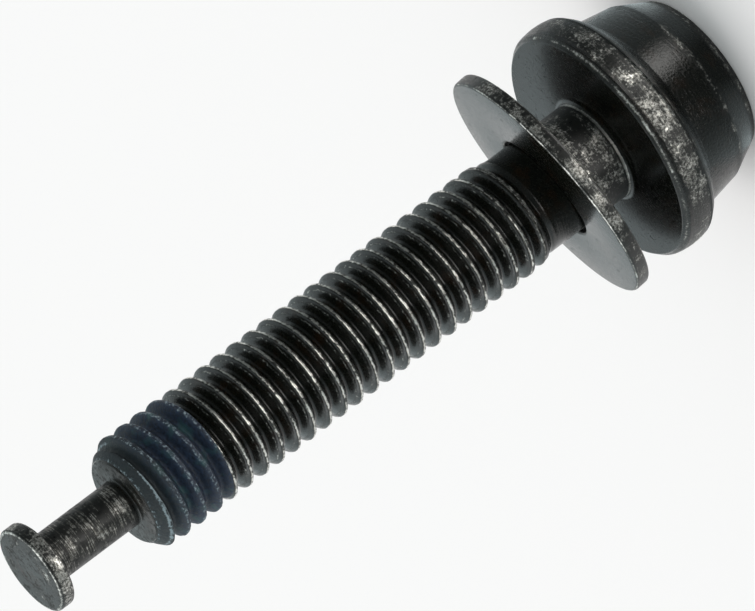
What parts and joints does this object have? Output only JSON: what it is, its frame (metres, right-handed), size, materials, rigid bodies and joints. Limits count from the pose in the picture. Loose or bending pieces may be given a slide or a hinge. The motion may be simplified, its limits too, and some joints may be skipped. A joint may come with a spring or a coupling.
{
  "type": "brake caliper bolt",
  "caption": "Flanged screw with a two-cone socket head, plain shank with a loose washer, long fine thread with a locking patch, and a slim neck with a round button tip.",
  "frame": {"origin": "centre of the head's flat top face, on which the screw stands", "axes": "+Z along the screw from head to tip; +X and +Y across it"},
  "size_m": [0.0132, 0.013, 0.0426],
  "materials": {
    "black_steel": "black phosphate coat, oiled, bright where it is rubbed",
    "washer_steel": "thin dark coat, smooth and glossy on its flat faces",
    "locking_compound": "dried compound, dark blue"
  },
  "bodies": {
    "bolt": {"bolt": "black_steel", "thread_lock_patch": "locking_compound"},
    "washer": {"washer": "washer_steel"}
  },
  "joints": [
    {"name": "washer_slide", "type": "slide", "parent": "bolt", "child": "washer", "axis": [0, 0, 1], "range_m": [-0.0012, 0.0013]}
  ]
}
